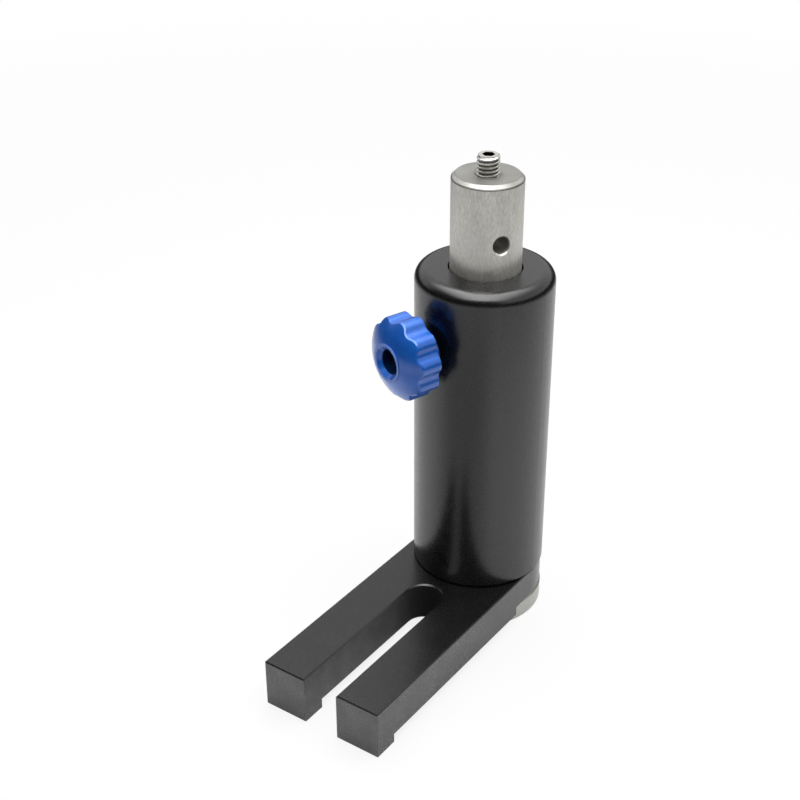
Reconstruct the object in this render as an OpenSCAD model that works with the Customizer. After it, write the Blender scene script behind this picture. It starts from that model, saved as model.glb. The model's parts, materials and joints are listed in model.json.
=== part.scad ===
// Post holder on a magnetic pedestal, with a half-inch steel post, a fluted
// thumbscrew that clamps it and a slotted arm that swivels round the pedestal.
// Millimetres. The origin is on the post's axis at table level, +Z is up and
// the arm points to -Y.

/* [Post] */
// Diameter of the steel post
post_d = 12.7; // [10:0.1:16]
// Length of the steel post
post_len = 50; // [40:0.5:80]
// How far the post stands out of the holder
post_show = 17.2; // [14:0.1:22]
// Chamfer on both ends of the post
post_edge = 0.7; // [0.2:0.1:1.5]
// Diameter of the cross hole that a bar or pin turns the post with
cross_d = 3.2; // [2:0.1:4]
// Depth of the cross hole's axis below the top of the post
cross_drop = 10.8; // [10.4:0.1:12]
// Direction of the cross hole, as an angle from +X
cross_dir = -33; // [-180:1:180]
// Chamfer round both mouths of the cross hole
cross_edge = 0.25; // [0.1:0.05:0.5]
// Diameter of the tapped hole in the foot of the post, at its thread crests
foot_thread_d = 5; // [4:0.1:6]
// Depth of the tapped hole in the foot of the post
foot_thread_depth = 10; // [6:0.5:14]

/* [Stud] */
// Thread diameter of the set screw in the top of the post
stud_d = 4; // [3:0.1:5]
// Pitch of the set screw's thread
stud_pitch = 0.7; // [0.5:0.05:0.8]
// Length of the set screw
stud_len = 11.6; // [9:0.1:12]
// How far the set screw stands out of the post
stud_show = 3.4; // [3.2:0.1:6]
// Chamfer on both ends of the set screw
stud_edge = 0.45; // [0.2:0.05:0.6]
// Hexagon key size of the set screw, across flats
stud_key = 2; // [1.5:0.1:2.5]
// Depth of the set screw's key socket
stud_key_depth = 2; // [1:0.1:3]

/* [Holder] */
// Outside diameter of the holder
holder_d = 25; // [22:0.5:32]
// Length of the holder, from the arm to its top
holder_len = 60.4; // [50:0.1:80]
// Radius of the holder's outer top edge
holder_round = 2.2; // [0.5:0.1:3]
// Chamfer round the holder's foot
holder_foot_edge = 0.2; // [0.1:0.05:0.5]
// Chamfer round the mouth of the bore
bore_edge = 0.2; // [0.1:0.05:0.8]
// Thickness of the floor under the bore
floor_t = 6; // [4:0.5:10]

/* [Thumbscrew] */
// Direction that the thumbscrew points in, as an angle from +X
screw_dir = -108; // [-180:0.5:180]
// Depth of the thumbscrew's axis below the top of the holder
screw_drop = 12.4; // [11:0.1:20]
// Thread diameter of the thumbscrew
screw_d = 6; // [5:0.1:8]
// Gap between the holder's wall and the back of the knob's rim
knob_gap = 2.7; // [2:0.1:6]
// Diameter of the knob over its lobes
knob_d = 15.1; // [13:0.1:20]
// Depth of the valleys between the lobes
knob_flute = 0.7; // [0.4:0.05:1]
// Number of lobes round the knob
knob_lobes = 10; // [8:1:12]
// How far the first lobe is turned from the top of the knob
knob_phase = 24.5; // [0:0.5:36]
// Length of the knob, from the back of its rim to its lip
knob_len = 6.3; // [5:0.1:9]
// Radius of the knob's domed face
knob_dome_r = 11.9; // [11:0.1:25]
// Chamfer round the back of the knob's rim
knob_back_edge = 0.15; // [0.1:0.05:0.6]
// Diameter of the round boss behind the knob
boss_d = 9.2; // [8.2:0.1:12]
// Length of the round boss behind the knob
boss_len = 1.7; // [0.5:0.1:1.8]
// Diameter of the hole in the middle of the knob
eye_d = 4.5; // [4.2:0.1:5.4]
// Width of the bevel round that hole
eye_bevel = 0.75; // [0.2:0.05:0.8]
// Width of the flat lip round the bevel
lip_w = 0.5; // [0.3:0.05:1.5]
// How far the lip stands proud of the domed face
lip_rise = 0.15; // [0.05:0.05:0.4]
// Depth of the steel screw's end below the knob's lip
eye_depth = 3; // [1:0.1:4]
// Hexagon key size of the thumbscrew, across flats
screw_key = 3; // [2:0.1:3.4]
// Depth of the thumbscrew's key socket
screw_key_depth = 2.5; // [1:0.1:2.6]

/* [Plunger] */
// Diameter of the brass plunger in the screw's tip
plunger_d = 3.1; // [2.8:0.1:3.4]
// Length of the plunger's body behind its nose
plunger_len = 2.5; // [2:0.1:3]
// Diameter of the plunger's nose
nose_d = 2.4; // [1.8:0.1:2.5]
// Diameter of the stem that centres the spring
stem_d = 1.7; // [1:0.1:1.8]
// Length of the stem that centres the spring
stem_len = 1.2; // [0.5:0.1:1.6]
// Thickness of the rolled lip that keeps the plunger in
lip_t = 0.5; // [0.3:0.05:0.7]
// Chamfer on both ends of the thumbscrew's thread
thread_edge = 0.25; // [0.1:0.05:0.5]
// How far the screw's tip stays back from the bore
tip_back = 0.95; // [0.9:0.05:1.5]
// Wire diameter of the spring
wire_d = 0.35; // [0.25:0.05:0.4]
// Number of turns in the spring
spring_turns = 5; // [4:1:6]
// Length of the room behind the plunger for the spring
spring_room = 3.6; // [3:0.1:3.8]

/* [Arm] */
// Width of the arm
arm_w = 24.5; // [20:0.5:30]
// Height of the arm's top above the table
arm_h = 9.5; // [8:0.1:14]
// Distance from the post's axis to the front of the toes
arm_reach = 49.5; // [42:0.5:90]
// Width of the slot for the table bolt
slot_w = 7; // [5:0.1:9]
// Distance from the post's axis to the centre of the slot's round end
slot_start = 18.5; // [18:0.5:24]
// Length of each toe
toe_len = 4.7; // [3:0.1:10]
// Height of the arch between the toes and the pedestal
arch_h = 1.9; // [0.5:0.1:2.5]
// Broken edge round the arm
arm_edge = 0.2; // [0.05:0.05:0.4]
// Chamfer round the top of the slot
slot_edge = 0.25; // [0.05:0.05:0.4]

/* [Pedestal] */
// Diameter of the pedestal's flange
flange_d = 24.8; // [20:0.1:28]
// Thickness of the pedestal's flange
flange_t = 3.6; // [3.2:0.1:4.5]
// Chamfer round the flange
flange_edge = 0.25; // [0.1:0.05:0.5]
// Diameter of the neck that the arm turns on
neck_d = 16; // [12:0.5:18]
// Diameter of each magnet
magnet_d = 6; // [4:0.5:6.5]
// Thickness of each magnet
magnet_t = 2; // [1:0.1:2.2]
// Broken edge round each magnet
magnet_edge = 0.1; // [0.05:0.05:0.3]
// Number of magnets in the flange
magnet_count = 4; // [3:1:4]
// Distance from the post's axis to each magnet's centre
magnet_ring = 8.3; // [7.5:0.1:8.6]
// How far each magnet's face lies above the table
magnet_inset = 0.1; // [0.05:0.05:0.2]

/* [Pedestal screw] */
// Thread diameter of the cap screw that holds the pedestal
cap_d = 6; // [5:0.5:6]
// Length of that screw's thread
cap_len = 12; // [9.5:0.5:12.5]
// Diameter of its head
cap_head_d = 10; // [8.5:0.1:12]
// Height of its head
cap_head_h = 6; // [4:0.1:6.5]
// Hexagon key size of its head, across flats
cap_key = 5; // [3:0.1:5]
// Depth of its key socket
cap_key_depth = 3; // [2:0.1:4]
// Room under the tip of its thread
cap_tip_gap = 0.5; // [0.2:0.1:0.9]
// Chamfer on its tip and round the top of its head
cap_edge = 0.5; // [0.2:0.1:1]

/* [Clearances] */
// Radial clearance of the post in its bore
post_fit = 0.1; // [0.02:0.01:0.2]
// Radial clearance of the arm on the pedestal's neck
neck_fit = 0.05; // [0.02:0.01:0.1]
// Radial clearance of a screw in its tapped hole
thread_fit = 0.05; // [0.02:0.01:0.1]
// Radial clearance of a part that is pressed or glued in
seat_fit = 0.02; // [0.01:0.01:0.05]
// Radial clearance of the plunger in the screw
plunger_fit = 0.05; // [0.02:0.01:0.1]
// Radial clearance of the cap screw in the holder's floor
cap_fit = 0.3; // [0.1:0.05:0.5]
// End float of the arm, above it and below it
arm_float = 0.1; // [0.05:0.05:0.3]
// Radial gap between the flange and the arm's recess
flange_gap = 0.85; // [0.3:0.05:1.5]
// Gap between the plunger's nose and the post
nose_gap = 0.1; // [0.05:0.05:0.3]
// Gap at each end of the spring and between plunger and lip
end_gap = 0.05; // [0.02:0.01:0.1]

/* [Hidden] */
MAGNETS = [for (i = [1:magnet_count]) str("magnet_", i)];

$fn = 96;
// A cutter reaches this far past the face that it opens
past = 1;

black = "#2c2d2f";
blue = "#2456b8";
stainless = "#b4b1aa";
nickel = "#c9c5b8";
dark_steel = "#3a3a3c";
brass = "#c2a050";

// Heights above the table
holder_z = arm_h + arm_float;
holder_top = holder_z + holder_len;
floor_z = holder_z + floor_t;
post_top = holder_top + post_show;
post_z = post_top - post_len;
cross_z = post_top - cross_drop;
stud_z = post_top + stud_show - stud_len;
screw_z = holder_top - screw_drop;

bore_r = post_d / 2 + post_fit;
recess_r = flange_d / 2 + flange_gap;
recess_top = flange_t + arm_float;

// The set screw is drawn at its thread's pitch line inside the post and at its crests where it
// stands out of the post. The post's hole opens in a countersink a little wider than the crests.
stud_pitch_r = stud_d / 2 - 3 * sqrt(3) / 16 * stud_pitch;
stud_hole_r = stud_pitch_r + seat_fit;
stud_mouth_edge = stud_d / 2 + stud_edge - stud_hole_r;

// Places along the thumbscrew's axis, measured out from the post's axis
nose_s = post_d / 2 + nose_gap;
tip_s = bore_r + tip_back;
shoulder_s = tip_s + lip_t + end_gap;
spring_s = shoulder_s + plunger_len;
spring_end_s = spring_s + spring_room;
knob_s = holder_d / 2 + knob_gap;
boss_s = knob_s - boss_len;
lip_s = knob_s + knob_len;
screw_end_s = lip_s - eye_depth;

// The dome's centre lies behind the rim, on the thumbscrew's axis, so that the dome ends at the
// foot of the lip
lip_r = eye_d / 2 + eye_bevel + lip_w;
dome_z = knob_len - lip_rise - sqrt(knob_dome_r * knob_dome_r - lip_r * lip_r);

// Centre line of the spring, and how finely its wire is drawn
coil_r = plunger_d / 2 - wire_d / 2;
coil_h = spring_room - 2 * end_gap - wire_d;
coil_steps = 20;
wire_sides = 8;

// Radius of the arcs that make the knob's lobes and valleys, which meet tangent to each other
lobe_r = knob_d / 2;
valley_r = lobe_r - knob_flute;
wave_k = 2 * (1 - cos(180 / knob_lobes));
wave_b = (4 - wave_k) * knob_flute;
wave_c = knob_flute * knob_flute + wave_k * lobe_r * valley_r;
wave_r = (sqrt(wave_b * wave_b + 4 * wave_k * wave_c) - wave_b) / (2 * wave_k);
// The valley arcs are this much larger, so that they cross the lobe arcs cleanly
wave_cross = 0.04;
// Where a lobe's arc meets a valley's arc
wave_x = (lobe_r - wave_r + (valley_r + wave_r) * cos(180 / knob_lobes)) / 2;
wave_y = (valley_r + wave_r) * sin(180 / knob_lobes) / 2;

// A straight round bar along +Z with a chamfer at each end
module bar(d, h, low_edge, high_edge) {
    cylinder(d1 = d - 2 * low_edge, d2 = d, h = low_edge);
    translate([0, 0, low_edge]) cylinder(d = d, h = h - low_edge - high_edge);
    translate([0, 0, h - high_edge]) cylinder(d1 = d, d2 = d - 2 * high_edge, h = high_edge);
}

// A chamfer cutter for a round mouth at z = 0 that opens towards +Z
module mouth(d, edge) {
    translate([0, 0, -edge]) cylinder(d1 = d, d2 = d + 2 * (edge + past), h = edge + past);
}

// A hexagon socket of the given size across flats that opens at z = 0
module key_socket(across, depth) {
    translate([0, 0, -depth]) cylinder(r = across / sqrt(3), h = depth + past, $fn = 6);
}

// Stands its children on the thumbscrew's axis, with their +Z pointing out of the holder
module on_screw_axis(s = 0) {
    rotate([0, 0, screw_dir]) translate([s, 0, screw_z]) rotate([0, 90, 0]) children();
}

// ---- Holder ---------------------------------------------------------------

module holder_profile() {
    square([holder_d / 2 - holder_round, holder_len]);
    translate([0, holder_foot_edge])
        square([holder_d / 2, holder_len - holder_foot_edge - holder_round]);
    translate([holder_d / 2 - holder_round, holder_len - holder_round]) circle(r = holder_round);
}

module holder_body() {
    color(black) difference() {
        translate([0, 0, holder_z]) rotate_extrude() intersection() {
            holder_profile();
            polygon([[0, 0], [holder_d / 2 - holder_foot_edge, 0], [holder_d / 2, holder_foot_edge],
                     [holder_d, holder_d], [holder_d, holder_len + past], [0, holder_len + past]]);
        }
        translate([0, 0, floor_z]) cylinder(r = bore_r, h = holder_top - floor_z + past);
        translate([0, 0, holder_top]) mouth(2 * bore_r, bore_edge);
        translate([0, 0, holder_z - past]) cylinder(r = cap_d / 2 + cap_fit, h = floor_t + 2 * past);
        on_screw_axis() cylinder(r = screw_d / 2 + thread_fit, h = holder_d);
    }
}

// ---- Post and its set screw ------------------------------------------------

module post() {
    color(stainless) difference() {
        translate([0, 0, post_z]) bar(post_d, post_len, post_edge, post_edge);
        translate([0, 0, stud_z - seat_fit]) cylinder(r = stud_hole_r, h = stud_len + past);
        translate([0, 0, post_top]) mouth(2 * stud_hole_r, stud_mouth_edge);
        translate([0, 0, post_z - past]) cylinder(d = foot_thread_d, h = foot_thread_depth + past);
        translate([0, 0, post_z]) mirror([0, 0, 1]) mouth(foot_thread_d, post_edge);
        translate([0, 0, cross_z]) rotate([0, 90, cross_dir]) {
            cylinder(d = cross_d, h = post_d + 2 * past, center = true);
            for (side = [0, 1])
                mirror([0, 0, side]) translate([0, 0, post_d / 2]) mouth(cross_d, cross_edge);
        }
    }
}

module post_stud() {
    color(stainless) difference() {
        union() {
            translate([0, 0, stud_z]) bar(2 * stud_pitch_r, stud_len - stud_show + past, stud_edge, stud_edge);
            translate([0, 0, post_top]) cylinder(d = stud_d, h = stud_show - stud_edge);
            translate([0, 0, post_top + stud_show - stud_edge])
                cylinder(d1 = stud_d, d2 = stud_d - 2 * stud_edge, h = stud_edge);
        }
        translate([0, 0, post_top + stud_show]) key_socket(stud_key, stud_key_depth);
    }
}

// ---- Thumbscrew -------------------------------------------------------------

// Outline of the knob: round lobes and round valleys that run into each other
module knob_outline() {
    difference() {
        union() {
            circle(r = norm([wave_x, wave_y]));
            for (i = [0:knob_lobes - 1])
                rotate(i * 360 / knob_lobes) translate([lobe_r - wave_r, 0]) circle(r = wave_r);
        }
        for (i = [0:knob_lobes - 1])
            rotate((i + 0.5) * 360 / knob_lobes)
                translate([valley_r + wave_r + wave_cross, 0]) circle(r = wave_r + wave_cross);
    }
}

// The space in front of the bevel round the back of the knob's rim
module knob_back_bevel() {
    back_r = lobe_r - knob_back_edge;
    cylinder(r1 = back_r, r2 = back_r + knob_len, h = knob_len);
}

module knob() {
    color(blue) on_screw_axis(knob_s) difference() {
        union() {
            intersection() {
                rotate(knob_phase) linear_extrude(knob_len) knob_outline();
                knob_back_bevel();
                translate([0, 0, dome_z]) sphere(r = knob_dome_r);
            }
            translate([0, 0, -boss_len]) cylinder(d = boss_d, h = boss_len + past);
            cylinder(r = lip_r, h = knob_len);
        }
        translate([0, 0, -boss_len - past]) cylinder(d = eye_d, h = boss_len + knob_len + 2 * past);
        translate([0, 0, knob_len]) mouth(eye_d, eye_bevel);
    }
}

// Turned steel screw: threaded as far as the knob's boss, then a plain shank that is
// pressed into the knob. Its tip is hollow for the plunger and the spring.
module thumbscrew() {
    color(dark_steel) on_screw_axis() difference() {
        union() {
            translate([0, 0, tip_s]) bar(screw_d, boss_s - tip_s, thread_edge, thread_edge);
            translate([0, 0, boss_s - past])
                cylinder(r = eye_d / 2 - seat_fit, h = screw_end_s - boss_s + past);
        }
        translate([0, 0, tip_s - past]) cylinder(r = nose_d / 2 + plunger_fit, h = lip_t + 2 * past);
        translate([0, 0, tip_s + lip_t])
            cylinder(r = plunger_d / 2 + plunger_fit, h = spring_end_s - tip_s - lip_t);
        translate([0, 0, screw_end_s]) key_socket(screw_key, screw_key_depth);
    }
}

// Brass plunger: a rounded nose that bears on the post, a body behind the rolled lip
// and a stem that centres the spring
module plunger() {
    color(brass) on_screw_axis() {
        translate([0, 0, nose_s]) intersection() {
            cylinder(d = nose_d, h = shoulder_s - nose_s + past);
            translate([0, 0, nose_d]) union() {
                sphere(r = nose_d);
                cylinder(r = nose_d, h = shoulder_s);
            }
        }
        translate([0, 0, shoulder_s]) cylinder(d = plunger_d, h = plunger_len);
        translate([0, 0, spring_s]) cylinder(d = stem_d, h = stem_len);
    }
}

// Height of the spring's centre line after the given number of turns: the end turns lie closed
function coil_rise(turn) =
    let (closed = 1.05 * wire_d, last = spring_turns - turn)
    turn < 1 ? turn * closed
    : last < 1 ? coil_h - last * closed
    : closed + (turn - 1) * (coil_h - 2 * closed) / (spring_turns - 2);

module plunger_spring() {
    rings = spring_turns * coil_steps;
    points = [
        for (i = [0:rings]) let (turn = i / coil_steps, a = 360 * turn)
            for (j = [0:wire_sides - 1]) let (b = 360 * j / wire_sides)
                let (r = coil_r + wire_d / 2 * cos(b))
                    [r * cos(a), r * sin(a), coil_rise(turn) + wire_d / 2 * sin(b)]
    ];
    tube = [
        for (i = [0:rings - 1], j = [0:wire_sides - 1]) let (k = (j + 1) % wire_sides, m = i * wire_sides)
            [m + j, m + k, m + wire_sides + k, m + wire_sides + j]
    ];
    start = [for (j = [0:wire_sides - 1]) wire_sides - 1 - j];
    end = [for (j = [0:wire_sides - 1]) rings * wire_sides + j];
    color(stainless) on_screw_axis(spring_s + end_gap + wire_d / 2)
        polyhedron(points, concat(tube, [start, end]));
}

// ---- Arm --------------------------------------------------------------------

// A rectangle about the Y axis, from y = 0 upwards, with its corners broken
module broken_rectangle(w, h, edge) {
    polygon([[edge - w / 2, 0], [w / 2 - edge, 0], [w / 2, edge], [w / 2, h - edge],
             [w / 2 - edge, h], [edge - w / 2, h], [-w / 2, h - edge], [-w / 2, edge]]);
}

// The straight part of the arm: a bar with all its long edges and front corners broken
module arm_bar() {
    intersection() {
        rotate([90, 0, 0]) linear_extrude(arm_reach) broken_rectangle(arm_w, arm_h, arm_edge);
        rotate([90, 0, 90]) linear_extrude(2 * arm_w, center = true)
            broken_rectangle(2 * arm_reach, arm_h, arm_edge);
        translate([0, -arm_reach, -past]) linear_extrude(arm_h + 2 * past)
            broken_rectangle(arm_w, 2 * arm_reach, arm_edge);
    }
}

// Open slot with a round end, and the chamfer round its upper edge
module slot_cutter() {
    run = arm_reach - slot_start + past;
    translate([0, -slot_start, 0]) {
        translate([0, 0, -past]) cylinder(d = slot_w, h = arm_h + 2 * past);
        translate([-slot_w / 2, -run, -past]) cube([slot_w, run, arm_h + 2 * past]);
        translate([0, 0, arm_h]) {
            mouth(slot_w, slot_edge);
            rotate([90, 0, 0]) linear_extrude(run)
                polygon([[-slot_w / 2, -slot_edge], [slot_w / 2, -slot_edge],
                         [slot_w / 2 + slot_edge + past, past], [-slot_w / 2 - slot_edge - past, past]]);
        }
    }
}

module base_arm() {
    color(black) difference() {
        union() {
            bar(arm_w, arm_h, arm_edge, arm_edge);
            arm_bar();
        }
        translate([-arm_w, toe_len - arm_reach, -past]) cube([2 * arm_w, arm_reach + arm_w, arch_h + past]);
        translate([0, 0, -past]) cylinder(r = recess_r, h = recess_top + past);
        cylinder(r = neck_d / 2 + neck_fit, h = arm_h + past);
        slot_cutter();
    }
}

// ---- Pedestal ---------------------------------------------------------------

module at_magnet(i) {
    rotate((i - 0.5) * 360 / magnet_count) translate([magnet_ring, 0, magnet_inset]) children();
}

module pedestal() {
    color(nickel) difference() {
        union() {
            bar(flange_d, flange_t, flange_edge, flange_edge);
            cylinder(d = neck_d, h = holder_z);
        }
        translate([0, 0, floor_z - cap_len - cap_tip_gap])
            cylinder(r = cap_d / 2 + thread_fit, h = cap_len + cap_tip_gap);
        for (i = [1:magnet_count])
            at_magnet(i) translate([0, 0, -past])
                cylinder(r = magnet_d / 2 + seat_fit, h = magnet_t + past);
    }
}

module magnet(i) {
    color(nickel) at_magnet(i) bar(magnet_d, magnet_t, magnet_edge, magnet_edge);
}

// Cap screw that is driven down the holder's bore into the pedestal
module pedestal_screw() {
    color(dark_steel) difference() {
        union() {
            translate([0, 0, floor_z - cap_len]) bar(cap_d, cap_len + past, cap_edge, cap_edge);
            translate([0, 0, floor_z]) bar(cap_head_d, cap_head_h, cap_edge / 2, cap_edge);
        }
        translate([0, 0, floor_z + cap_head_h]) key_socket(cap_key, cap_key_depth);
    }
}

holder_body();
post();
post_stud();
knob();
thumbscrew();
plunger();
plunger_spring();
base_arm();
pedestal();
pedestal_screw();
for (i = [1:magnet_count]) magnet(i);
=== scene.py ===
"""Looks of a magnetic pedestal post holder with its steel optical post.

The sections follow the holder as it is put together: the pedestal and its magnets, the arm,
the holder tube with its cap screw, the sprung thumbscrew and its knob, the post and its stud.
"""

import json
import math

import bmesh
import bpy
from mathutils import Matrix, Vector


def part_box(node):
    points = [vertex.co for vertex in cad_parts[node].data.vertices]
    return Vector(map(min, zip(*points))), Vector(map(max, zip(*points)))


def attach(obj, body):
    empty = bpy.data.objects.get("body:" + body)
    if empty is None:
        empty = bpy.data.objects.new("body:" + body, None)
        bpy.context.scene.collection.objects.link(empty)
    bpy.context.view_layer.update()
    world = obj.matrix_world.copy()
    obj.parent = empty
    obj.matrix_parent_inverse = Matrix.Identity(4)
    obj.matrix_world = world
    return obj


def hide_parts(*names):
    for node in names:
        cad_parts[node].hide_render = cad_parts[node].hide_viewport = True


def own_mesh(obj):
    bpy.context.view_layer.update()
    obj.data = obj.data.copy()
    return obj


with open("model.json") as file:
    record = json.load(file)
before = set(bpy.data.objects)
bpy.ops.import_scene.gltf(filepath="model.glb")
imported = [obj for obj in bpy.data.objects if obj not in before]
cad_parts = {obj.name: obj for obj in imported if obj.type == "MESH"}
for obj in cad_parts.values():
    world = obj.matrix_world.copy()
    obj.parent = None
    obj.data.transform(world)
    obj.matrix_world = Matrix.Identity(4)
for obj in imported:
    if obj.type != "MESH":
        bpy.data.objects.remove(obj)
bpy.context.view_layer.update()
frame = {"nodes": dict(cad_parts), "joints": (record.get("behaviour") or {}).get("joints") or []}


# ---- Camera ---------------------------------------------------------------------------------
# A moderate telephoto a quarter of a metre away, above the toes and to their right. It is
# rolled a little, and shifted so that the holder stands right of the middle.

MM = 0.001
look_at = Vector((0.2, -0.5, 43.3)) * MM
camera_distance = 263.1 * MM
camera_azimuth = math.radians(32.2)
camera_elevation = math.radians(29.74)
camera_roll = math.radians(1.56)
camera_lens = 64.36
camera_shift = -0.10175

scene = bpy.context.scene
scene.view_settings.view_transform = "Standard"
away = Vector((
    math.sin(camera_azimuth) * math.cos(camera_elevation),
    -math.cos(camera_azimuth) * math.cos(camera_elevation),
    math.sin(camera_elevation),
))
camera = bpy.data.objects.new("camera", bpy.data.cameras.new("camera"))
camera.matrix_world = (
    Matrix.Translation(look_at + away * camera_distance)
    @ away.to_track_quat("Z", "Y").to_matrix().to_4x4()
    @ Matrix.Rotation(camera_roll, 4, "Z")
)
camera.data.lens = camera_lens
camera.data.shift_x = camera_shift
scene.collection.objects.link(camera)
scene.camera = camera


# ---- Floor and light ------------------------------------------------------------------------
# White paper in a white room, under one softbox. Cards that show only in reflections shape the
# highlights: the softbox's cloth, a grey ring round the set whose raised rim is black, and a
# filter that darkens the paper in front of the toes.

class Signal:
    """One output of a shader node. The operators add the Math nodes for sums written with it."""

    def __init__(self, nodes, socket):
        self.nodes = nodes
        self.socket = socket

    def also(self, output):
        """Another output of the same node."""
        return Signal(self.nodes, self.socket.node.outputs[output])

    def __add__(self, other):
        return self.nodes.math("ADD", self, other)

    def __sub__(self, other):
        return self.nodes.math("SUBTRACT", self, other)

    def __rsub__(self, other):
        return self.nodes.math("SUBTRACT", other, self)

    def __mul__(self, other):
        return self.nodes.math("MULTIPLY", self, other)

    def __gt__(self, other):
        return self.nodes.math("GREATER_THAN", self, other)

    def __lt__(self, other):
        return self.nodes.math("LESS_THAN", self, other)

    __radd__ = __add__
    __rmul__ = __mul__


class Nodes:
    """The shader nodes of one material or world."""

    def __init__(self, owner):
        self.owner = owner
        owner.use_nodes = True
        self.tree = owner.node_tree
        self.tree.nodes.clear()

    def add(self, kind, settings=(), sockets=(), out=0):
        """Adds a node, sets it, fills or links its sockets, and returns one of its outputs."""
        node = self.tree.nodes.new(kind)
        for name, value in dict(settings).items():
            setattr(node, name, value)
        inputs = {socket.identifier: socket for socket in node.inputs}
        for name, value in dict(sockets).items():
            if isinstance(value, Signal):
                self.tree.links.new(value.socket, inputs[name])
            else:
                inputs[name].default_value = value
        if not node.outputs:
            return None
        return Signal(self, node.outputs[out])

    def math(self, operation, first, second=0, third=0):
        return self.add("ShaderNodeMath", {"operation": operation},
                        {"Value": first, "Value_001": second, "Value_002": third})

    def vector(self, operation, first, second=(0, 0, 0)):
        """Vector Math. A length or a dot product comes out as a number."""
        result = "Value" if operation in ("LENGTH", "DOT_PRODUCT") else "Vector"
        return self.add("ShaderNodeVectorMath", {"operation": operation},
                        {"Vector": first, "Vector_001": second}, out=result)

    def scaled(self, vector, size):
        """A vector or colour times a number."""
        return self.add("ShaderNodeVectorMath", {"operation": "SCALE"},
                        {"Vector": vector, "Scale": size})

    def place(self):
        """The point that is shaded, in the piece's own metres. In a world, the direction."""
        return self.add("ShaderNodeTexCoord", out="Object")

    def part(self, vector, axis):
        """A vector's X, Y or Z."""
        return self.add("ShaderNodeSeparateXYZ", sockets={"Vector": vector}, out=axis)

    def ramp(self, value, start, end, first=0, last=1, curve="LINEAR"):
        """Goes from first to last as the value goes from start to end, and stays there."""
        return self.add("ShaderNodeMapRange", {"interpolation_type": curve}, {
            "Value": value, "From Min": start, "From Max": end, "To Min": first, "To Max": last})

    def blend(self, amount, low, high, way="MIX"):
        """A colour between low and high, or with MULTIPLY between low and low times high."""
        colour_result = 2
        return self.add("ShaderNodeMix", {"data_type": "RGBA", "blend_type": way},
                        {"Factor_Float": amount, "A_Color": low, "B_Color": high},
                        out=colour_result)

    def mix(self, amount, shader, other):
        """A shader between two."""
        return self.add("ShaderNodeMixShader", sockets={
            "Fac": amount, "Shader": shader, "Shader_001": other})

    def shown_directly(self, mirrored_share=1):
        """1 for what the camera sees, straight, in a mirror or through glass, and 0 for light."""
        straight = self.add("ShaderNodeLightPath", out="Is Camera Ray")
        mirrored = straight.also("Is Glossy Ray")
        through = straight.also("Is Transmission Ray")
        return self.math("MINIMUM", straight + mirrored * mirrored_share + through, 1)


def grey(tone):
    return (tone, tone, tone, 1)


# Turns a place that is measured as the camera sees it, to its right, away from it and up
to_camera = Matrix.Rotation(camera_azimuth, 4, "Z")

room_light = 0.26
ceiling_tone = 0.77
ceiling_from = 0.3
ceiling_full = 0.5
dark_side_from = 0.25
dark_side_full = 0.55
dark_side_tone = 0.06
dark_side_turn = math.radians(38)
room = Nodes(bpy.data.worlds.new("white_room"))
direction = room.place()
overhead = room.ramp(room.part(direction, "Z"), ceiling_from, ceiling_full)
mirrored_tone = room.blend(overhead, grey(1), grey(ceiling_tone))
darkest = to_camera @ Vector((-math.sin(dark_side_turn), -math.cos(dark_side_turn), 0))
facing = room.vector("DOT_PRODUCT", direction, darkest)
dark_side = room.ramp(facing, dark_side_from, dark_side_full)
mirrored_tone = room.blend(dark_side, mirrored_tone, grey(dark_side_tone))
tone = room.blend(room.shown_directly(0), mirrored_tone, grey(1))
ambient = room.add("ShaderNodeBackground", sockets={"Color": grey(1), "Strength": room_light})
walls = room.add("ShaderNodeBackground", sockets={"Color": tone, "Strength": 1})
room.add("ShaderNodeOutputWorld", sockets={
    "Surface": room.mix(room.shown_directly(), ambient, walls)})
scene.world = room.owner

# The paper shows white of itself, a little less near the holder, where its shadow falls
floor_size = 4
floor_whiteness = 0.9
floor_glow = 0.86
glow_mirrored = 0.15
glow_near = 0.15
glow_far = 0.45
sheet = bmesh.new()
bmesh.ops.create_grid(sheet, x_segments=1, y_segments=1, size=floor_size / 2)
floor = bpy.data.objects.new("floor", bpy.data.meshes.new("floor"))
sheet.to_mesh(floor.data)
sheet.free()
scene.collection.objects.link(floor)
paper = Nodes(bpy.data.materials.new("white_paper"))
distance = paper.vector("LENGTH", paper.place())
glow = paper.ramp(distance, glow_near, glow_far, floor_glow, 1)
shadowed = paper.add("ShaderNodeBsdfDiffuse", sockets={"Color": grey(floor_whiteness)})
glowing = paper.add("ShaderNodeEmission", sockets={"Color": grey(1), "Strength": 1})
paper.add("ShaderNodeOutputMaterial", sockets={
    "Surface": paper.mix(paper.shown_directly(glow_mirrored) * glow, shadowed, glowing)})
floor.data.materials.append(paper.owner)

lamp_width = 0.42
lamp_depth = 0.34
lamp_watts = 1.95
lamp_at = to_camera @ Vector((0.03, 0.03, 0.38))
lamp = bpy.data.objects.new("softbox", bpy.data.lights.new("softbox", "AREA"))
lamp.data.shape = "RECTANGLE"
lamp.data.size = lamp_width
lamp.data.size_y = lamp_depth
lamp.data.energy = lamp_watts
lamp.matrix_world = (
    Matrix.Translation(lamp_at)
    @ (lamp_at - look_at).to_track_quat("Z", "Y").to_matrix().to_4x4()
)
lamp.visible_glossy = False
scene.collection.objects.link(lamp)


def reflected_only(name, shape, skin, surface, middle):
    """A card of the studio that shows in reflections and nowhere else."""
    card = bpy.data.objects.new(name, bpy.data.meshes.new(name))
    shape.to_mesh(card.data)
    shape.free()
    skin.add("ShaderNodeOutputMaterial", sockets={"Surface": surface})
    card.data.materials.append(skin.owner)
    card.matrix_world = to_camera @ Matrix.Translation(middle)
    card.visible_camera = card.visible_diffuse = card.visible_shadow = False
    card.visible_transmission = False
    scene.collection.objects.link(card)


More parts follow.
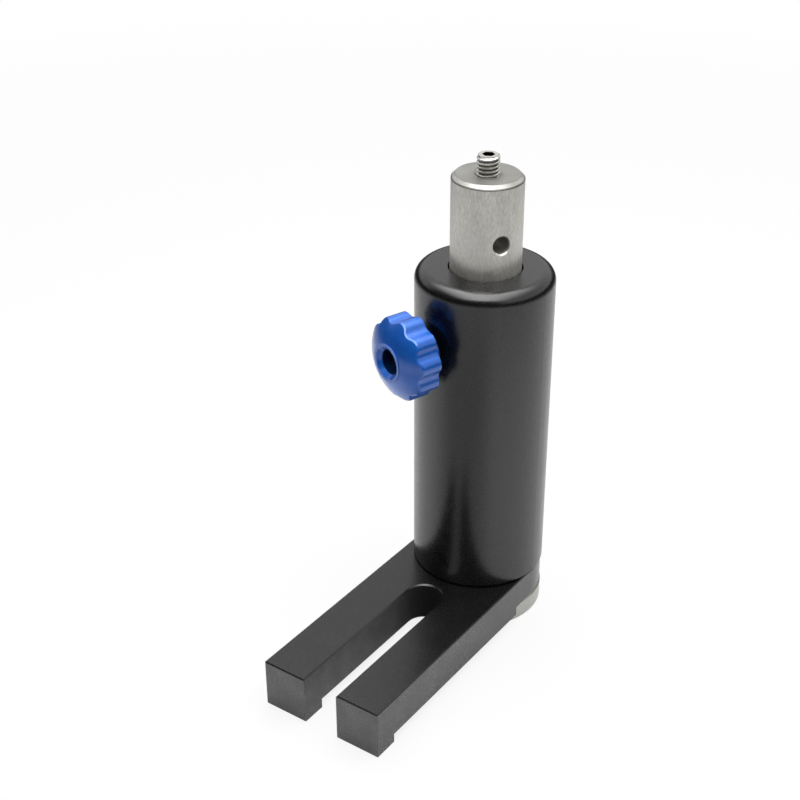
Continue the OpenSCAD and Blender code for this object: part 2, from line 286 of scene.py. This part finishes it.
# The softbox's cloth reaches between these angles as they are seen from the floor below it
cloth_up = 0.6
cloth_front = -cloth_up / math.tan(math.radians(47))
cloth_back = -cloth_up / math.tan(math.radians(122))
cloth_side = cloth_up * math.tan(math.radians(39))
cloth_shift = -0.04
cloth_strength = 5.6
cloth_edge_strength = 1.4
cloth = bmesh.new()
bmesh.ops.create_grid(cloth, x_segments=1, y_segments=1, size=0.5)
bmesh.ops.scale(cloth, verts=cloth.verts, vec=(2 * cloth_side, cloth_back - cloth_front, 1))
skin = Nodes(bpy.data.materials.new("softbox_cloth"))
from_middle = skin.math("ABSOLUTE", skin.part(skin.place(), "X"))
strength = skin.ramp(from_middle, 0, cloth_side, cloth_strength, cloth_edge_strength,
                     curve="SMOOTHSTEP")
light = skin.add("ShaderNodeEmission", sockets={"Color": grey(1), "Strength": strength})
reflected_only("softbox_cloth", cloth, skin, light,
               (cloth_shift, (cloth_front + cloth_back) / 2, cloth_up))


def around(skin, turn):
    """How far a place on a round card lies from its middle, and the cosine of its angle from a
    direction that is turned clockwise from the camera's side."""
    place = skin.place()
    facing = skin.vector("DOT_PRODUCT", skin.vector("NORMALIZE", place),
                         (-math.sin(turn), -math.cos(turn), 0))
    return skin.vector("LENGTH", place), facing


surround_near = 0.165
surround_low = 0.28
surround_high = 0.40
surround_top = 0.15
surround_grey = 0.68
surround_dark = 0.02
surround_fade = 0.03
surround_turn = math.radians(40)
surround_middle = (0.02, 0.03, 0.001)
turned_away = -0.3
turned_to = 0.9
share_away = 0.6
share_to = 1.35
surround = bmesh.new()
bmesh.ops.create_circle(surround, cap_ends=False, segments=96, radius=surround_near)
rim = surround.edges[:]
for radius, height in ((surround_low, 0), (surround_high, surround_top)):
    made = bmesh.ops.extrude_edge_only(surround, edges=rim)["geom"]
    for vertex in (part for part in made if isinstance(part, bmesh.types.BMVert)):
        vertex.co = vertex.co.normalized() * radius
        vertex.co.z = height
    rim = [part for part in made if isinstance(part, bmesh.types.BMEdge)]
skin = Nodes(bpy.data.materials.new("surround"))
distance, facing = around(skin, surround_turn)
strength = skin.ramp(distance, surround_low - surround_fade, surround_low + surround_fade,
                     surround_grey, surround_dark, curve="SMOOTHSTEP")
share = skin.ramp(facing, turned_away, turned_to, share_away, share_to, curve="SMOOTHSTEP")
light = skin.add("ShaderNodeEmission", sockets={"Color": grey(1), "Strength": strength * share})
reflected_only("surround", surround, skin, light, surround_middle)

filter_r = 0.162
filter_up = 0.2 * MM
filter_turn = math.radians(28)
filter_edge = math.cos(math.radians(50))
filter_full = math.cos(math.radians(15))
filter_near = 0.075
filter_far = 0.135
filter_near_depth = 0.38
filter_far_depth = 0.56
front_filter = bmesh.new()
bmesh.ops.create_circle(front_filter, cap_ends=True, segments=96, radius=filter_r)
skin = Nodes(bpy.data.materials.new("front_filter"))
distance, facing = around(skin, filter_turn)
sector = skin.ramp(facing, filter_edge, filter_full, curve="SMOOTHSTEP")
depth = skin.ramp(distance, filter_near, filter_far, filter_near_depth, filter_far_depth)
passed = skin.blend(sector * depth, grey(1), grey(0))
through = skin.add("ShaderNodeBsdfTransparent", sockets={"Color": passed})
reflected_only("front_filter", front_filter, skin, through, (0, 0, filter_up))


# ---- Pedestal -------------------------------------------------------------------------------
# A flange and a neck turned from one steel bar and nickel plated. The flange stands on the
# table, and the arm swivels on the neck above it.

def dress(node, finish):
    """Gives a CAD node its finish."""
    for material_slot in frame["nodes"][node].material_slots:
        material_slot.material = finish


def from_axis(coat, foot=(0, 0, 0), axis=(0, 0, 1)):
    """How far a point lies from an axis, and how far along it."""
    place = coat.vector("SUBTRACT", coat.place(), foot)
    return (
        coat.vector("LENGTH", coat.vector("CROSS_PRODUCT", place, axis)),
        coat.vector("DOT_PRODUCT", place, axis),
    )


oxide_ior = 1.65
grain_contrast = 1.6
cloud_contrast = 0.8
cloud_fineness = 0.12


def metal(name, low, high, grain_size, roughness, roughness_spread, stretch=(1, 1, 1), bump=0,
          metallic=1.0, film=0, film_roughness=0.25, dim=None, dim_tone=0.5, rings=None):
    """Bare, plated or dyed metal whose colour goes from low to high with a fine grain.

    stretch lengthens the grain along X, Y and Z, and bump is the grain's height in metres.
    film is how much of a clear film lies over it. dim gives where shade is painted, how far each
    place is dimmed, which at 1 is to dim_tone, and rings adds lathe marks to the bump."""
    coat = Nodes(bpy.data.materials.new(name))
    place = coat.add("ShaderNodeMapping", sockets={
        "Vector": coat.place(), "Scale": [1 / length for length in stretch]})
    grain = coat.add("ShaderNodeTexNoise", sockets={
        "Vector": place, "Scale": 1 / grain_size, "Detail": 3, "Roughness": 0.6})
    cloud = coat.add("ShaderNodeTexNoise", sockets={
        "Vector": place, "Scale": cloud_fineness / grain_size, "Detail": 2})
    amount = (grain - 0.5) * grain_contrast + (cloud - 0.5) * cloud_contrast + 0.5
    colour = coat.blend(amount, (*low, 1), (*high, 1))
    if dim:
        colour = coat.blend(dim(coat), colour, grey(dim_tone), "MULTIPLY")
    sockets = {
        "Base Color": colour,
        "Coat Weight": film,
        "Coat Roughness": film_roughness,
        "Coat IOR": oxide_ior,
        "Metallic": metallic,
        "Roughness": amount * roughness_spread + (roughness - roughness_spread / 2),
    }
    if bump:
        height = grain + rings(coat) if rings else grain
        sockets["Normal"] = coat.add("ShaderNodeBump", sockets={
            "Height": height, "Distance": bump, "Strength": 1})
    shader = coat.add("ShaderNodeBsdfPrincipled", sockets=sockets)
    coat.add("ShaderNodeOutputMaterial", sockets={"Surface": shader})
    return coat.owner


nickel = metal("nickel_plate", (0.40, 0.397, 0.37), (0.53, 0.525, 0.49), grain_size=0.35 * MM,
               roughness=0.34, roughness_spread=0.12)
dress("pedestal", nickel)


# ---- Magnets --------------------------------------------------------------------------------
# Four nickel-plated disc magnets glued into pockets in the flange's underside. They hold the
# pedestal to a steel table.

bright_nickel = metal("magnet_plate", (0.58, 0.57, 0.54), (0.70, 0.69, 0.66),
                      grain_size=0.5 * MM, roughness=0.2, roughness_spread=0.08)
for node in frame["nodes"]:
    if node.startswith("magnet_"):
        dress(node, bright_nickel)


# ---- Arm ------------------------------------------------------------------------------------
# A bar of aluminium milled with an open slot for the table bolt and an arch behind its toes. It
# is bead blasted and anodised black, and turns on the pedestal's neck.

speck_spacing = 2.5 * MM
speck_size = 0.07 * MM
speck_share = 0.4
speck_colour = (0.12, 0.12, 0.115, 1)
pore_contrast = 1.5
patch_contrast = 0.7
patch_fineness = 0.05
thin_dye = 1.5
full_dye = 0.6
blast_spread = 0.1


def black_anodised(name, dye, grain_size, grain_height, roughness, side=None, gap=None):
    """Blasted aluminium under a black oxide film. The film is clear, so it mirrors like glass
    over the dyed pores below it. A few specks of dust lie on it.

    dye is the tone of the pores. side gives where light is painted on as another tone of the
    pores, and that tone. gap gives how far a place is out of the light, and the shader that shows
    there instead."""
    coat = Nodes(bpy.data.materials.new(name))
    place = coat.place()
    grain = coat.add("ShaderNodeTexNoise", sockets={
        "Vector": place, "Scale": 1 / grain_size, "Detail": 2, "Roughness": 0.7})
    patch = coat.add("ShaderNodeTexNoise", sockets={
        "Vector": place, "Scale": patch_fineness / grain_size, "Detail": 3})
    amount = (grain - 0.5) * pore_contrast + (patch - 0.5) * patch_contrast + 0.5
    if side:
        where, tone = side(coat)
        dye = where * (tone - dye) + dye
    colour = coat.scaled(coat.blend(amount, grey(full_dye), grey(thin_dye)), dye)
    speck = coat.add("ShaderNodeTexVoronoi", sockets={
        "Vector": place, "Scale": 1 / speck_spacing})
    picked = coat.part(speck.also("Color"), "X") > 1 - speck_share
    colour = coat.blend((speck < speck_size / speck_spacing) * picked, colour, speck_colour)
    shader = coat.add("ShaderNodeBsdfPrincipled", sockets={
        "Base Color": colour,
        "Roughness": amount * blast_spread + (roughness - blast_spread / 2),
        "IOR": oxide_ior,
        "Normal": coat.add("ShaderNodeBump", sockets={
            "Height": grain, "Distance": grain_height, "Strength": 1}),
    })
    if gap:
        hidden, instead = gap(coat, colour)
        shader = coat.mix(hidden, shader, instead)
    coat.add("ShaderNodeOutputMaterial", sockets={"Surface": shader})
    return coat.owner


arm_low, arm_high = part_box("base_arm")
# Painted light: the arm's upright faces get a lighter dye, three times lighter at the toes' ends,
# and less of it deep in the slot, where that is painted shade.
side_painted_tone = 0.034
side_skin = 0.35 * MM
front_skin = 0.1 * MM
toes_lighter = 3
toes_end = -34 * MM
toes_fade = -12 * MM
slot_light_end = -23 * MM
slot_light_fade = -12 * MM
slot_half = 3.6 * MM
slot_mouth = -50 * MM
slot_mouth_hidden = 0.1
slot_deep = -22 * MM
wall_painted_lighter = 1.7


def upright(coat):
    """1 on upright faces, and 0 on the top, the bottom and the bevels."""
    facing = coat.add("ShaderNodeTexCoord", out="Normal")
    return coat.math("ABSOLUTE", coat.part(facing, "Z")) < 0.5


def painted_arm_light(coat):
    """Where light is painted on the arm's upright faces as a lighter dye, and its tone. Those are
    its outer sides, round the heel too, its toes, lightest at their ends, and the walls of its
    slot, which painted shade darkens up the slot."""
    place = coat.place()
    y = coat.part(place, "Y")
    from_middle = coat.vector("LENGTH", coat.add("ShaderNodeCombineXYZ", sockets={
        "X": coat.part(place, "X"), "Y": coat.math("MAXIMUM", y, 0)}))
    outer = coat.math("MAXIMUM", from_middle > arm_high.x - side_skin,
                      y < arm_low.y + front_skin)
    in_slot = coat.ramp(y, slot_light_end, slot_light_fade, 1, 0)
    tone = coat.ramp(y, toes_end, toes_fade, toes_lighter, 1) * side_painted_tone
    return coat.math("MAXIMUM", outer, in_slot) * upright(coat), tone


def slot_walls(coat, colour):
    """How far the slot's walls, which mirror only each other, give up their reflection for
    painted shade, and the matte dye, painted lighter, that is left.
    """
    place = coat.place()
    y = coat.part(place, "Y")
    walls = (coat.math("ABSOLUTE", coat.part(place, "X")) < slot_half) * (y < 0) * upright(coat)
    matte = coat.add("ShaderNodeBsdfPrincipled", sockets={
        "Base Color": coat.scaled(colour, wall_painted_lighter), "Roughness": 1,
        "Specular IOR Level": 0})
    return walls * coat.ramp(y, slot_mouth, slot_deep, slot_mouth_hidden, 1), matte


dress("base_arm", black_anodised(
    "arm_anodised", dye=0.0015, grain_size=0.22 * MM, grain_height=0.006 * MM, roughness=0.26,
    side=painted_arm_light, gap=slot_walls))


# ---- Holder ---------------------------------------------------------------------------------
# A tube with a floor, turned from aluminium bar, blasted and anodised black. Its bore is reamed
# for the post, and the thumbscrew's hole is tapped through its wall.

post_bore_r = 6.66 * MM


def in_bore(coat, colour):
    """The bore, where nothing lights the gap round the post."""
    unlit = coat.add("ShaderNodeBsdfDiffuse", sockets={"Color": grey(0.001)})
    return from_axis(coat)[0] < post_bore_r, unlit


dress("holder_body", black_anodised(
    "holder_anodised", dye=0.002, grain_size=0.16 * MM, grain_height=0.003 * MM,
    roughness=0.27, gap=in_bore))


# ---- Pedestal screw -------------------------------------------------------------------------
# A black-oxide cap screw, driven down the bore, that pulls the holder down on the neck.

black_oxide = metal("black_oxide", (0.035, 0.035, 0.037), (0.06, 0.06, 0.063),
                    grain_size=0.2 * MM, roughness=0.36, roughness_spread=0.1)
dress("pedestal_screw", black_oxide)


# ---- Spring ---------------------------------------------------------------------------------
# Coiled from hard steel wire, with a closed turn at each end. It sits in the screw's hollow tip
# and pushes the plunger out.

turn_joint = next(joint for joint in frame["joints"] if joint["name"] == "knob_turn")
screw_axis = Vector(turn_joint["axis"]).normalized()
screw_foot = Vector(turn_joint["pos_m"])
down = Vector((0, 0, -1))
# Carries a shape drawn along +Z to the thumbscrew's axis, where its +X points down
to_screw = Matrix.Translation(screw_foot) @ Matrix((
    down, screw_axis.cross(down), screw_axis)).transposed().to_4x4()


def reach(node):
    """Where a CAD node starts and ends along the thumbscrew's axis, and its radius there."""
    places = [to_screw.inverted() @ vertex.co for vertex in frame["nodes"][node].data.vertices]
    along = [place.z for place in places]
    return min(along), max(along), max(place.xy.length for place in places)


def make_piece(name, shape, finish, body, node, place=Matrix()):
    """Turns a bmesh into a finished piece that stands for a CAD node and rides on a body."""
    shape.transform(place)
    bmesh.ops.recalc_face_normals(shape, faces=shape.faces)
    piece = bpy.data.objects.new(name, bpy.data.meshes.new(name))
    shape.to_mesh(piece.data)
    shape.free()
    scene.collection.objects.link(piece)
    piece.data.materials.append(finish)
    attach(piece, body)
    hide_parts(node)
    return piece


bright_steel = metal("bright_steel", (0.50, 0.49, 0.47), (0.66, 0.65, 0.63),
                     grain_size=0.12 * MM, roughness=0.2, roughness_spread=0.1)
spring_start, spring_end, spring_r = reach("plunger_spring")
wire_d = 0.35 * MM
wire_sides = 10
spring_turns = 5
coil_steps = 36
open_rise = (spring_end - spring_start - 3 * wire_d) / (spring_turns - 2)

spring = bmesh.new()
ring = bmesh.ops.create_circle(spring, segments=wire_sides, radius=wire_d / 2)["verts"]
bmesh.ops.rotate(spring, verts=ring, cent=(0, 0, 0), matrix=Matrix.Rotation(math.pi / 2, 3, "X"))
bmesh.ops.translate(spring, verts=ring,
                    vec=(spring_r - wire_d / 2, 0, spring_start + wire_d / 2))
start_cap = spring.edges[:]
front = spring.edges[:]
for turns, rise in ((1, wire_d), (spring_turns - 2, open_rise), (1, wire_d)):
    swept = bmesh.ops.spin(spring, geom=front, cent=(0, 0, 0), axis=(0, 0, 1),
                           dvec=(0, 0, rise / coil_steps), angle=turns * math.tau,
                           steps=turns * coil_steps)
    front = [part for part in swept["geom_last"] if isinstance(part, bmesh.types.BMEdge)]
for loop in (start_cap, front):
    bmesh.ops.contextual_create(spring, geom=loop)
coil = make_piece("spring_coil", spring, bright_steel, "spring",
                  "plunger_spring", to_screw)
coil.data.shade_smooth()
press = next(joint for joint in frame["joints"] if joint["name"] == "plunger_press")
pressed = press["range_m"][1]
1 - pressed / (spring_end - spring_start)
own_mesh(coil)


# ---- Plunger --------------------------------------------------------------------------------
# Turned from brass, so that its round nose grips the post without marking it. The screw's
# rolled lip keeps it in.

brass = metal("plunger_brass", (0.55, 0.37, 0.13), (0.68, 0.48, 0.19), grain_size=0.15 * MM,
              roughness=0.28, roughness_spread=0.1)
dress("plunger", brass)


# ---- Thumbscrew -----------------------------------------------------------------------------
# A steel screw, turned hollow at its tip for the spring and plunger. Its thread runs up to the
# knob, and its plain shank is pressed into the knob's eye.

round_sides = 48


def thread(shape, crest, pitch, low, high, steps=round_sides, worn=0):
    """A closed screw thread along +Z with its ends cut square. Returns its two end rims.

    worn widens the crests' flats, as a share of the pitch."""
    flat, valley = (1 / 8 + worn) * pitch, pitch / 4 - worn * pitch / 2
    root = crest - (pitch - flat - valley) / 2 * math.sqrt(3)
    flank = (pitch - flat - valley) / 2
    profile = [(root, 0), (root, valley / 2), (crest, valley / 2 + flank),
               (crest, valley / 2 + flank + flat), (root, pitch - valley / 2), (root, pitch)]
    corners = [shape.verts.new((radius, 0, low - pitch + height)) for radius, height in profile]
    edges = [shape.edges.new(pair) for pair in zip(corners, corners[1:])]
    turns = math.ceil((high - low) / pitch) + 2
    bmesh.ops.spin(shape, geom=corners + edges, cent=(0, 0, 0), axis=(0, 0, 1),
                   dvec=(0, 0, pitch / steps), angle=turns * math.tau, steps=turns * steps)
    bmesh.ops.remove_doubles(shape, verts=shape.verts, dist=pitch / 500)
    rims = []
    for height, facing in ((low, -1), (high, 1)):
        everything = shape.verts[:] + shape.edges[:] + shape.faces[:]
        cut = bmesh.ops.bisect_plane(shape, geom=everything, dist=1e-7, plane_co=(0, 0, height),
                                     plane_no=(0, 0, facing), clear_outer=True)
        rims.append([part for part in cut["geom_cut"] if isinstance(part, bmesh.types.BMEdge)])
    return rims


def ring_at(shape, radius, height, sides, start=0):
    """The edges of a ring about +Z."""
    ring = bmesh.ops.create_circle(shape, segments=sides, radius=radius)["verts"]
    turned = Matrix.Translation((0, 0, height)) @ Matrix.Rotation(start, 4, "Z")
    bmesh.ops.transform(shape, verts=ring, matrix=turned)
    return list({edge for vertex in ring for edge in vertex.link_edges})


def pull(shape, edges, radius=None, height=None):
    """Extrudes a ring of edges to another radius or height and returns the new ring."""
    made = bmesh.ops.extrude_edge_only(shape, edges=edges)["geom"]
    for vertex in (part for part in made if isinstance(part, bmesh.types.BMVert)):
        if radius is not None:
            vertex.co.xy = vertex.co.xy.normalized() * radius
        if height is not None:
            vertex.co.z = height
    return [part for part in made if isinstance(part, bmesh.types.BMEdge)]


def close(shape, edges):
    """Closes a ring of edges with one flat face."""
    bmesh.ops.contextual_create(shape, geom=edges)


def limit(shape, height_limits):
    """Keeps each vertex inside the radius that a list of (height, radius) gives at its height."""
    for vertex in shape.verts:
        for (low, low_r), (high, high_r) in zip(height_limits, height_limits[1:]):
            if low <= vertex.co.z <= high:
                most = low_r + (high_r - low_r) * (vertex.co.z - low) / (high - low)
                if vertex.co.xy.length > most:
                    vertex.co.xy = vertex.co.xy.normalized() * most


def key_socket(shape, rim, across, height, depth, cone=0.3, point=0.05):
    """Fills an end rim around a hexagon socket and sinks the socket to a shallow cone."""
    hexagon = ring_at(shape, across / math.sqrt(3), height, 6)
    bmesh.ops.triangle_fill(shape, use_beauty=True, use_dissolve=False, edges=rim + hexagon)
    floor = pull(shape, hexagon, height=height - depth)
    centre = pull(shape, floor, radius=across * point, height=height - depth - across * cone)
    close(shape, centre)


def shade(piece, angle=30):
    """Smooth shading that breaks at edges sharper than the angle."""
    piece.data.shade_smooth()
    piece.data.set_sharp_from_angle(angle=math.radians(angle))


tip, screw_end, crest_r = reach("thumbscrew")
screw_pitch = 1 * MM
boss_at = reach("knob")[0]
shank_r = 2.23 * MM
lip_hole_r = 1.25 * MM
lip_t = 0.5 * MM
bore_r = 1.6 * MM
spring_room = 0.05 * MM
bore_end = spring_end + spring_room
thread_edge = 0.25 * MM
screw_key = 3 * MM
screw_key_depth = 2.5 * MM

screw = bmesh.new()
tip_rim, boss_rim = thread(screw, crest_r, screw_pitch, tip, boss_at)
limit(screw, [(tip, crest_r - thread_edge), (tip + thread_edge, crest_r),
              (boss_at - thread_edge, crest_r), (boss_at, crest_r - thread_edge)])
mouth = ring_at(screw, lip_hole_r, tip, round_sides)
bmesh.ops.triangle_fill(screw, use_beauty=True, use_dissolve=False, edges=tip_rim + mouth)
lip = pull(screw, mouth, height=tip + lip_t)
chamber = pull(screw, lip, radius=bore_r)
chamber = pull(screw, chamber, height=bore_end)
close(screw, chamber)
shank = ring_at(screw, shank_r, boss_at, round_sides)
bmesh.ops.triangle_fill(screw, use_beauty=True, use_dissolve=False, edges=boss_rim + shank)
shank_end = pull(screw, shank, height=screw_end)
key_socket(screw, shank_end, screw_key, screw_end, screw_key_depth, cone=0.05)
shade(make_piece("thumbscrew_thread", screw, black_oxide, "thumbscrew",
                 "thumbscrew", to_screw))


# ---- Knob -----------------------------------------------------------------------------------
# Turned with a domed face from aluminium, milled with ten round flutes and anodised blue. A
# bevelled lip rings its eye, and a boss stands on its back.

knob_back, knob_front, lobe_r = reach("knob")
lobes = 10
lobe_steps = 36
lobe_turn = math.radians(24.5)
flute_depth = 0.7 * MM
boss_r = 4.6 * MM
boss_len = 1.7 * MM
eye_r = 2.25 * MM
eye_bevel = 0.75 * MM
eye_skin = 0.02 * MM
lip_w = 0.5 * MM
lip_rise = 0.15 * MM
back_edge = 0.15 * MM
dome_r = 11.9 * MM
rim_edge = 0.17 * MM
lip_r = eye_r + eye_bevel + lip_w
rim_at = knob_back + boss_len
dome_at = knob_front - lip_rise - math.sqrt(dome_r ** 2 - lip_r ** 2)

valley_r = lobe_r - flute_depth
half_turn = math.pi / lobes
# Lobes and valleys are equal arcs that run into each other. Their radius r solves
# square * r * r + linear * r = constant
square = 2 * (1 - math.cos(half_turn))
linear = (4 - square) * flute_depth
constant = flute_depth ** 2 + square * lobe_r * valley_r
arc_r = (math.sqrt(linear ** 2 + 4 * square * constant) - linear) / (2 * square)
meet_x = (lobe_r - arc_r + (valley_r + arc_r) * math.cos(half_turn)) / 2
meet_y = (valley_r + arc_r) * math.sin(half_turn) / 2
meet = math.atan2(meet_y, meet_x)


def outline(angle):
    """Radius of the fluted outline at an angle from the first lobe."""
    turn = abs((angle + half_turn) % (2 * half_turn) - half_turn)
    if turn < meet:
        middle = lobe_r - arc_r
        return (middle * math.cos(turn)
                + math.sqrt(arc_r ** 2 - (middle * math.sin(turn)) ** 2))
    turn = half_turn - turn
    middle = valley_r + arc_r
    return middle * math.cos(turn) - math.sqrt(arc_r ** 2 - (middle * math.sin(turn)) ** 2)


def dome(radius):
    return dome_at + math.sqrt(dome_r ** 2 - radius ** 2)


def wave_to(shape, edges, radius_at, height_at):
    """Extrudes a ring and places each new vertex by functions of its angle and radius."""
    ring = pull(shape, edges)
    for vertex in {vertex for edge in ring for vertex in edge.verts}:
        angle = math.atan2(vertex.co.y, vertex.co.x)
        radius = radius_at(angle - lobe_turn)
        vertex.co = (radius * math.cos(angle), radius * math.sin(angle), height_at(radius))
    return ring


knob = bmesh.new()
eye_back = ring_at(knob, eye_r, knob_back, lobes * lobe_steps, lobe_turn)
boss_back = pull(knob, eye_back, radius=boss_r)
boss_foot = pull(knob, boss_back, height=rim_at)
back_rim = wave_to(knob, boss_foot, lambda angle: outline(angle) - back_edge,
                   lambda radius: rim_at)
flute_back = wave_to(knob, back_rim, outline, lambda radius: rim_at + back_edge)
front_rim = wave_to(knob, flute_back, outline, dome)
face = front_rim
dome_rings = 14
for step in range(1, dome_rings + 1):
    share = step / dome_rings
    face = wave_to(knob, face,
                   lambda angle, share=share: outline(angle) + (lip_r - outline(angle)) * share,
                   dome)
lip_outer = pull(knob, face, height=knob_front)
lip_inner = pull(knob, lip_outer, radius=eye_r + eye_bevel)
eye_front = pull(knob, lip_inner, radius=eye_r, height=knob_front - eye_bevel)
bmesh.ops.bridge_loops(knob, edges=eye_front + eye_back)
bmesh.ops.remove_doubles(knob, verts=knob.verts, dist=1e-6)
front_rim = [edge for edge in front_rim if edge.is_valid]
bmesh.ops.bevel(knob, geom=front_rim, affect="EDGES", offset=rim_edge, segments=1,
                profile=0.5, material=-1)

mark_spacing = 0.36 * MM
# Painted shade darkens the knob's eye to a quarter of its blue.
blue = metal("blue_anodised", (0.006, 0.10, 0.44), (0.012, 0.15, 0.61), grain_size=0.25 * MM,
             roughness=0.64, roughness_spread=0.12, film=1, film_roughness=0.22,
             dim=lambda coat: from_axis(coat, screw_foot, screw_axis)[0] < eye_r + eye_skin,
             dim_tone=0.25, bump=0.002 * MM,
             rings=lambda coat: coat.math("SINE", from_axis(coat, screw_foot, screw_axis)[0]
                                          * (math.tau / mark_spacing)))
shade(make_piece("knob_fluted", knob, blue, "thumbscrew", "knob", to_screw),
      angle=25)


# ---- Post -----------------------------------------------------------------------------------
# Half-inch stainless bar, faced and chamfered at both ends, with a cross hole near the top and
# tapped holes in its ends. Its ground skin carries fine streaks.

# Painted shade on the post: its holes, its chamfer and end face, and a thin line below the
# chamfer are darkened.
post_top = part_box("post")[1].z
post_edge = 0.7 * MM
edge_dim = 0.44
edge_line = 0.15 * MM
end_skin = 0.05 * MM
end_dim = 0.36
hole_r = 5.6 * MM
hole_dim = 0.5


def painted_post_shade(coat):
    """Where shade is painted on the post: in its holes, on its chamfer and turned end, and in a
    line below the chamfer.
    """
    radius, height = from_axis(coat)
    hole = (radius < hole_r) * hole_dim
    end = (height > post_top - post_edge) * edge_dim + (height > post_top - end_skin) * end_dim
    line = coat.math("COMPARE", height, post_top - post_edge, edge_line)
    return coat.math("MAXIMUM", hole, coat.math("MAXIMUM", end, line))


stainless = metal(
    "ground_stainless", (0.50, 0.49, 0.455), (0.83, 0.82, 0.77), grain_size=0.3 * MM,
    roughness=0.42, roughness_spread=0.22, stretch=(1, 1, 3), metallic=0.75,
    dim=painted_post_shade, dim_tone=0.2)
dress("post", stainless)


# ---- Stud -----------------------------------------------------------------------------------
# A stainless set screw with a hexagon socket, driven into the top of the post to take an optic
# mount.

stud_low, stud_high = (corner.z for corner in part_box("post_stud"))
stud_r = (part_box("post_stud")[1].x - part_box("post_stud")[0].x) / 2
stud_pitch = 0.7 * MM
stud_edge = 0.28 * MM
stud_key = 2 * MM
stud_key_depth = 2 * MM
# Painted shade darkens the stud's socket and the roots of its thread.
key_skin = 0.01 * MM
key_mouth = 0.08 * MM
root_depth = 0.3 * MM
crest_depth = 0.08 * MM
root_dim = 0.8
# Inside the post the crests stop at the pitch line, where the post's own thread meets them
pitch_r = stud_r - 3 * math.sqrt(3) / 16 * stud_pitch
mouth_depth = 0.66 * MM

stud = bmesh.new()
foot_rim, top_rim = thread(stud, stud_r, stud_pitch, stud_low, stud_high, worn=0.17)
limit(stud, [(stud_low, pitch_r - stud_edge), (stud_low + stud_edge, pitch_r),
             (post_top - mouth_depth, pitch_r), (post_top - mouth_depth / 3, stud_r),
             (stud_high - stud_edge, stud_r), (stud_high, stud_r - stud_edge)])
close(stud, foot_rim)
key_socket(stud, top_rim, stud_key, stud_high, stud_key_depth)


def painted_stud_shade(coat):
    """Where shade is painted on the stud: inside its socket and down in the thread."""
    radius, height = from_axis(coat)
    key = (radius < stud_key / math.sqrt(3) + key_skin) * (height < stud_high - key_mouth)
    root = coat.ramp(radius, stud_r - root_depth, stud_r - crest_depth, root_dim, 0)
    return coat.math("MAXIMUM", key, root * (height < stud_high - stud_edge))


stud_steel = metal(
    "stud_steel", (0.56, 0.55, 0.52), (0.74, 0.73, 0.69), grain_size=0.1 * MM,
    roughness=0.22, roughness_spread=0.1, dim=painted_stud_shade, dim_tone=0.1)
shade(make_piece("stud_thread", stud, stud_steel, "post", "post_stud",
                 Matrix.Rotation(math.pi, 4, "Z")))
